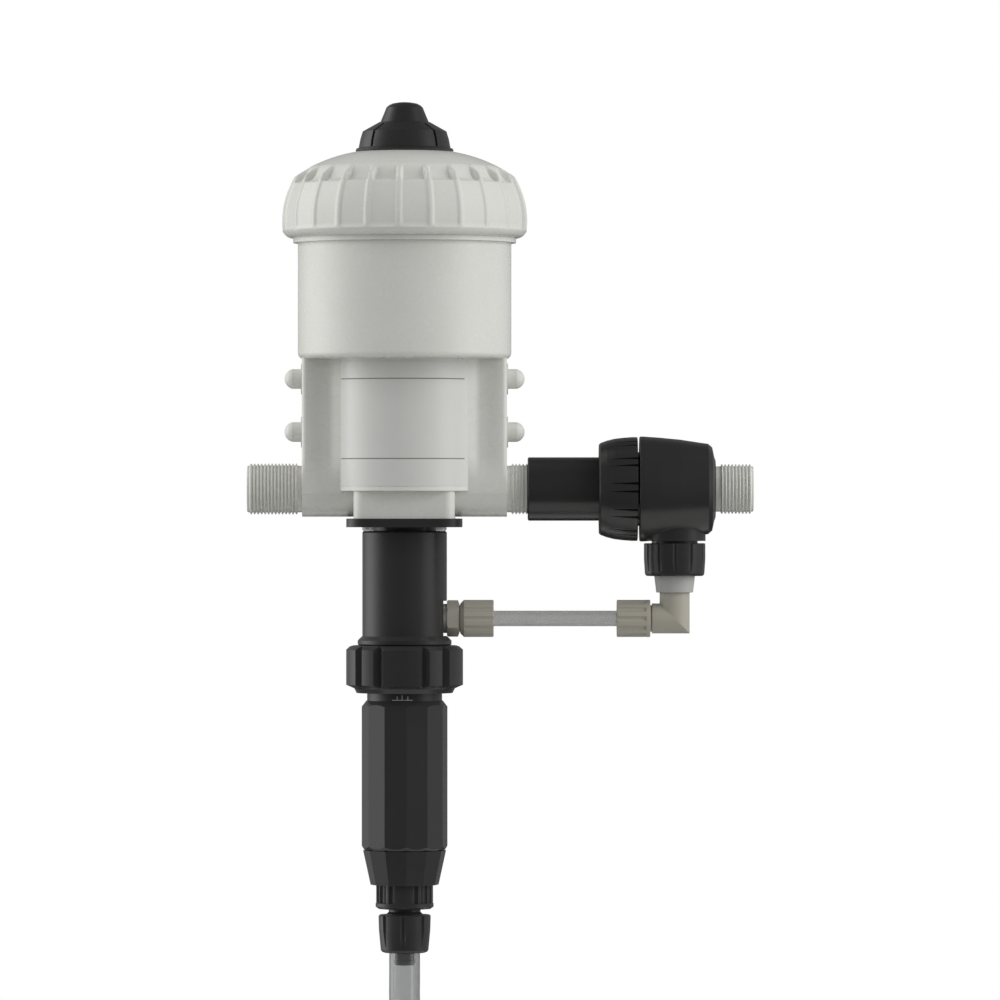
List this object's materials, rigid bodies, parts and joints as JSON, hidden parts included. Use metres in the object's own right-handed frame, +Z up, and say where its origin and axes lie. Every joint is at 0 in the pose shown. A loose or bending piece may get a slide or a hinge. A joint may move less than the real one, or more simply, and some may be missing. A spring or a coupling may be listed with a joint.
{
  "type": "water-powered dosing pump",
  "caption": "Upright water-driven proportional dosing pump with an outside injection line to a tee, a dosage sleeve and a suction hose with strainer.",
  "frame": {"origin": "middle of the inlet thread, on its axis", "axes": "+X the way the water flows, from inlet to outlet; +Z up, towards the bell; -Y towards the viewer of the picture"},
  "size_m": [0.2831, 0.1278, 0.7562],
  "materials": {
    "white_plastic": "semi-gloss moulded",
    "label_film": "satin printed film",
    "black_plastic": "satin moulded",
    "beige_plastic": "satin moulded",
    "grey_plastic": "satin moulded",
    "rubber": "smooth moulded",
    "steel": "bright drawn",
    "clear_hose": "clear soft PVC",
    "clear_tube": "milky tubing"
  },
  "bodies": {
    "pump": {"body": "white_plastic", "label_film": "label_film", "bell": "white_plastic", "bell_o_ring": "rubber", "vent_cap": "black_plastic", "vent_cap_o_ring": "rubber", "vent_spring": "steel", "retaining_plate": "black_plastic", "plate_screws": "steel", "injection_housing": "black_plastic", "housing_o_ring": "rubber", "rod_bush": "beige_plastic", "graduated_stem": "black_plastic", "union_tail": "black_plastic", "union_o_ring": "rubber", "tee_body": "black_plastic", "outlet_nipple": "grey_plastic", "branch_o_ring": "rubber", "reducer": "grey_plastic", "check_spring": "steel", "elbow": "beige_plastic", "ferrule_right": "steel", "port_washer": "grey_plastic", "hex_fitting": "beige_plastic", "ferrule_left": "steel", "bypass_tube": "clear_tube"},
    "vent_push": {"vent_button": "black_plastic", "vent_seal": "rubber"},
    "motor": {"motor_piston": "white_plastic", "piston_seal": "rubber", "piston_lower_seal": "rubber", "plunger_rod": "steel", "plunger_head": "white_plastic", "plunger_seal": "rubber", "yoke_pin": "steel"},
    "valve_gear": {"valve_carriage": "grey_plastic", "upper_valves": "rubber", "lower_valves": "rubber"},
    "toggle": {"toggle_yoke": "steel", "toggle_spring": "steel"},
    "locking": {"lock_ring": "black_plastic"},
    "dosing_carriage": {"dosing_cylinder": "beige_plastic", "cylinder_o_ring": "rubber", "valve_housing": "black_plastic", "suction_spring": "steel", "valve_nut": "black_plastic", "hose_barb": "black_plastic", "suction_hose": "clear_hose", "hose_coil": "clear_hose", "hose_tail": "clear_hose", "hose_tie": "black_plastic", "strainer": "black_plastic"},
    "dosage_sleeve": {"adjusting_sleeve": "black_plastic"},
    "suction_valve": {"suction_poppet": "beige_plastic"},
    "hose_grip": {"hose_nut": "black_plastic"},
    "outlet_union": {"union_nut": "black_plastic"},
    "branch_coupling": {"branch_nut": "black_plastic"},
    "injection_valve": {"check_poppet": "beige_plastic"},
    "line_nut_right": {"compression_nut_right": "beige_plastic"},
    "line_nut_left": {"compression_nut_left": "beige_plastic"}
  },
  "joints": [
    {"name": "vent_slide", "type": "slide", "parent": "pump", "child": "vent_push", "axis": [0, 0, 1], "range_m": [-0.003, 0], "stiffness_N_per_m": 300, "springref_m": 0.004, "deforming": ["vent_spring"]},
    {"name": "motor_slide", "type": "slide", "parent": "pump", "child": "motor", "axis": [0, 0, 1], "range_m": [0, 0.04]},
    {"name": "valve_slide", "type": "slide", "parent": "motor", "child": "valve_gear", "axis": [0, 0, 1], "range_m": [0, 0.0057]},
    {"name": "toggle_hinge", "type": "hinge", "parent": "motor", "child": "toggle", "pos_m": [0.095, 0, 0.093], "axis": [0, 1, 0], "range_deg": [0, 12.2]},
    {"name": "lock_hinge", "type": "hinge", "parent": "pump", "child": "locking", "pos_m": [0.068, 0, -0.0937], "axis": [0, 0, 1], "range_deg": [0, 90]},
    {"name": "dosing_slide", "type": "slide", "parent": "pump", "child": "dosing_carriage", "axis": [0, 0, 1], "range_m": [-0.027, 0.0015]},
    {"name": "dosage_hinge", "type": "hinge", "parent": "dosing_carriage", "child": "dosage_sleeve", "pos_m": [0.068, 0, -0.149], "axis": [0, 0, 1], "range_deg": [-2436, 138]},
    {"name": "suction_slide", "type": "slide", "parent": "dosing_carriage", "child": "suction_valve", "axis": [0, 0, 1], "range_m": [0, 0.003], "stiffness_N_per_m": 60, "springref_m": -0.004, "deforming": ["suction_spring"]},
    {"name": "hose_nut_hinge", "type": "hinge", "parent": "dosing_carriage", "child": "hose_grip", "pos_m": [0.068, 0, -0.231], "axis": [0, 0, 1], "continuous": true},
    {"name": "union_hinge", "type": "hinge", "parent": "pump", "child": "outlet_union", "pos_m": [0.179, 0, 0], "axis": [1, 0, 0], "continuous": true},
    {"name": "branch_hinge", "type": "hinge", "parent": "pump", "child": "branch_coupling", "pos_m": [0.2084, 0, -0.0367], "axis": [0, 0, 1], "continuous": true},
    {"name": "injection_slide", "type": "slide", "parent": "pump", "child": "injection_valve", "axis": [0, 0, 1], "range_m": [0, 0.003], "stiffness_N_per_m": 80, "springref_m": -0.004, "deforming": ["check_spring"]},
    {"name": "line_right_hinge", "type": "hinge", "parent": "pump", "child": "line_nut_right", "pos_m": [0.1868, 0, -0.0673], "axis": [1, 0, 0], "continuous": true},
    {"name": "line_left_hinge", "type": "hinge", "parent": "pump", "child": "line_nut_left", "pos_m": [0.1061, 0, -0.0673], "axis": [1, 0, 0], "continuous": true}
  ],
  "couplings": [
    {"joint": "dosage_hinge", "follows": "dosing_slide", "rad_per_m": 1570.8},
    {"joint": "toggle_hinge", "follows": "valve_slide", "rad_per_m": 37.1}
  ]
}
